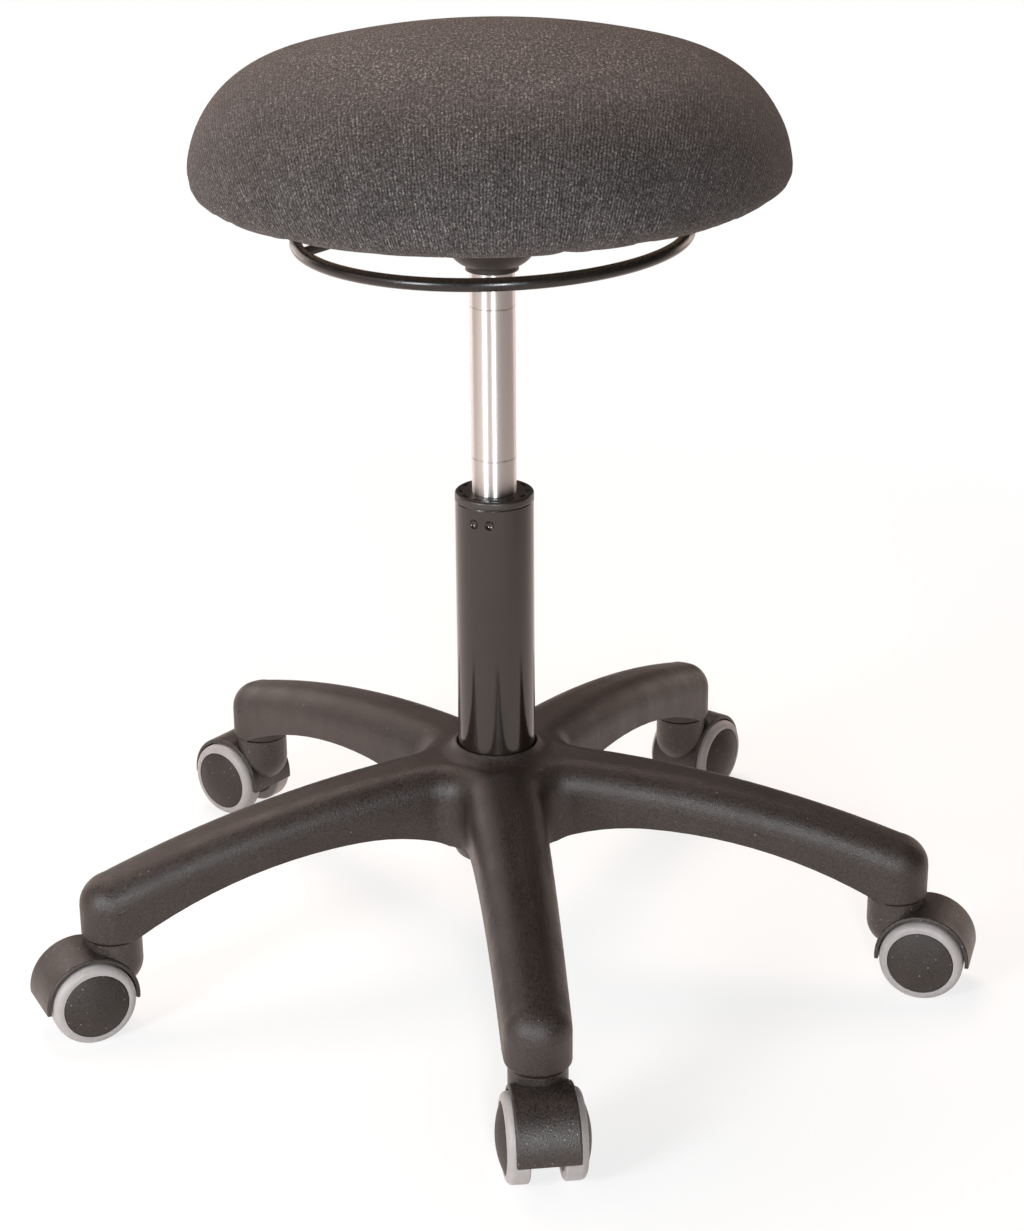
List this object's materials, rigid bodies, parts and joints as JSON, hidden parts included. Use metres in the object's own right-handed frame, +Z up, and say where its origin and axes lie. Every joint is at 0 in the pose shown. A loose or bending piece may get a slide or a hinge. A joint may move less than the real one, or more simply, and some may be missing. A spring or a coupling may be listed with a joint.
{
  "type": "work stool",
  "caption": "Height-adjustable work stool with a round padded fabric seat, ring release, gas lift column and a star base on swivelling twin-wheel casters.",
  "frame": {"origin": "on the floor, on the axis of the lift column", "axes": "+Z up along the column, -Y towards the viewer of the picture, +X to the viewer's right"},
  "size_m": [0.6054, 0.5916, 0.6066],
  "materials": {
    "seat_fabric": "matte",
    "seat_foam": "matte",
    "plywood": "satin",
    "zinc_steel": "satin",
    "black_paint": "satin",
    "gloss_black_paint": "gloss",
    "black_nylon": "matte",
    "plain_steel": "satin",
    "satin_steel": "satin",
    "aluminium": "satin",
    "black_rubber": "matte",
    "grey_tread": "matte"
  },
  "bodies": {
    "base": {"star_base": "black_nylon", "hub_ring": "zinc_steel", "column_tube": "gloss_black_paint", "guide_bush": "black_nylon", "bearing_race_lower": "plain_steel", "bearing_balls": "plain_steel", "caster_stems": "zinc_steel", "stem_grip_rings": "zinc_steel"},
    "rod": {"piston_rod": "plain_steel", "piston": "aluminium", "piston_ring": "black_rubber", "bump_stop": "black_rubber", "bearing_race_upper": "plain_steel", "retaining_clip": "zinc_steel"},
    "seat": {"seat_cover": "seat_fabric", "seat_foam": "seat_foam", "seat_board": "plywood", "tee_nuts": "zinc_steel", "seat_bolts": "zinc_steel", "seat_bolt_washers": "zinc_steel", "mounting_plate": "black_paint", "seat_hub": "black_paint", "pressure_tube": "satin_steel", "valve_body": "aluminium", "rod_guide": "black_nylon", "rod_seal": "black_rubber"},
    "ring": {"release_ring": "gloss_black_paint", "ring_spokes": "gloss_black_paint", "press_hub": "black_nylon"},
    "button": {"release_button": "plain_steel"},
    "caster_1": {"caster_1_hood": "black_nylon", "caster_1_axle": "plain_steel"},
    "caster_1_left_roller": {"caster_1_left_wheel": "black_nylon", "caster_1_left_tread": "grey_tread"},
    "caster_1_right_roller": {"caster_1_right_wheel": "black_nylon", "caster_1_right_tread": "grey_tread"},
    "caster_2": {"caster_2_hood": "black_nylon", "caster_2_axle": "plain_steel"},
    "caster_2_left_roller": {"caster_2_left_wheel": "black_nylon", "caster_2_left_tread": "grey_tread"},
    "caster_2_right_roller": {"caster_2_right_wheel": "black_nylon", "caster_2_right_tread": "grey_tread"},
    "caster_3": {"caster_3_hood": "black_nylon", "caster_3_axle": "plain_steel"},
    "caster_3_left_roller": {"caster_3_left_wheel": "black_nylon", "caster_3_left_tread": "grey_tread"},
    "caster_3_right_roller": {"caster_3_right_wheel": "black_nylon", "caster_3_right_tread": "grey_tread"},
    "caster_4": {"caster_4_hood": "black_nylon", "caster_4_axle": "plain_steel"},
    "caster_4_left_roller": {"caster_4_left_wheel": "black_nylon", "caster_4_left_tread": "grey_tread"},
    "caster_4_right_roller": {"caster_4_right_wheel": "black_nylon", "caster_4_right_tread": "grey_tread"},
    "caster_5": {"caster_5_hood": "black_nylon", "caster_5_axle": "plain_steel"},
    "caster_5_left_roller": {"caster_5_left_wheel": "black_nylon", "caster_5_left_tread": "grey_tread"},
    "caster_5_right_roller": {"caster_5_right_wheel": "black_nylon", "caster_5_right_tread": "grey_tread"}
  },
  "joints": [
    {"name": "seat_swivel", "type": "hinge", "parent": "base", "child": "rod", "pos_m": [0, 0, 0.0808], "axis": [0, 0, 1], "continuous": true},
    {"name": "seat_lift", "type": "slide", "parent": "rod", "child": "seat", "axis": [0, 0, 1], "range_m": [-0.125, 0]},
    {"name": "ring_tilt", "type": "hinge", "parent": "seat", "child": "ring", "pos_m": [-0.02534, -0.00775, 0.50264], "axis": [-0.2924, 0.9563, 0], "range_deg": [0, 5.7], "stiffness_Nm_per_rad": 10, "springref_deg": -8.02},
    {"name": "button_press", "type": "slide", "parent": "seat", "child": "button", "axis": [0, 0, -1], "range_m": [0, 0.00265]},
    {"name": "caster_1_swivel", "type": "hinge", "parent": "base", "child": "caster_1", "pos_m": [0.02347, -0.26145, 0.062], "axis": [0, 0, 1], "continuous": true},
    {"name": "caster_1_left_roll", "type": "hinge", "parent": "caster_1", "child": "caster_1_left_roller", "pos_m": [0.02602, -0.28219, 0.0268], "axis": [0.9925, 0.1219, 0], "continuous": true},
    {"name": "caster_1_right_roll", "type": "hinge", "parent": "caster_1", "child": "caster_1_right_roller", "pos_m": [0.02602, -0.28219, 0.0268], "axis": [0.9925, 0.1219, 0], "continuous": true},
    {"name": "caster_2_swivel", "type": "hinge", "parent": "base", "child": "caster_2", "pos_m": [0.2559, -0.05847, 0.062], "axis": [0, 0, 1], "continuous": true},
    {"name": "caster_2_left_roll", "type": "hinge", "parent": "caster_2", "child": "caster_2_left_roller", "pos_m": [0.27596, -0.06437, 0.0268], "axis": [0.2823, 0.9593, 0], "continuous": true},
    {"name": "caster_2_right_roll", "type": "hinge", "parent": "caster_2", "child": "caster_2_right_roller", "pos_m": [0.27596, -0.06437, 0.0268], "axis": [0.2823, 0.9593, 0], "continuous": true},
    {"name": "caster_3_swivel", "type": "hinge", "parent": "base", "child": "caster_3", "pos_m": [0.13469, 0.22531, 0.062], "axis": [0, 0, 1], "continuous": true},
    {"name": "caster_3_left_roll", "type": "hinge", "parent": "caster_3", "child": "caster_3_left_roller", "pos_m": [0.14721, 0.24205, 0.0268], "axis": [-0.8007, 0.599, 0], "continuous": true},
    {"name": "caster_3_right_roll", "type": "hinge", "parent": "caster_3", "child": "caster_3_right_roller", "pos_m": [0.14721, 0.24205, 0.0268], "axis": [-0.8007, 0.599, 0], "continuous": true},
    {"name": "caster_4_swivel", "type": "hinge", "parent": "base", "child": "caster_4", "pos_m": [-0.17267, 0.19772, 0.062], "axis": [0, 0, 1], "continuous": true},
    {"name": "caster_4_left_roll", "type": "hinge", "parent": "caster_4", "child": "caster_4_left_roller", "pos_m": [-0.18904, 0.2107, 0.0268], "axis": [-0.6211, -0.7837, 0], "continuous": true},
    {"name": "caster_4_right_roll", "type": "hinge", "parent": "caster_4", "child": "caster_4_right_roller", "pos_m": [-0.18904, 0.2107, 0.0268], "axis": [-0.6211, -0.7837, 0], "continuous": true},
    {"name": "caster_5_swivel", "type": "hinge", "parent": "base", "child": "caster_5", "pos_m": [-0.2414, -0.10311, 0.062], "axis": [0, 0, 1], "continuous": true},
    {"name": "caster_5_left_roll", "type": "hinge", "parent": "caster_5", "child": "caster_5_left_roller", "pos_m": [-0.26018, -0.11228, 0.0268], "axis": [0.4384, -0.8988, 0], "continuous": true},
    {"name": "caster_5_right_roll", "type": "hinge", "parent": "caster_5", "child": "caster_5_right_roller", "pos_m": [-0.26018, -0.11228, 0.0268], "axis": [0.4384, -0.8988, 0], "continuous": true}
  ],
  "couplings": [
    {"joint": "button_press", "follows": "ring_tilt", "m_per_rad": 0.0265}
  ]
}
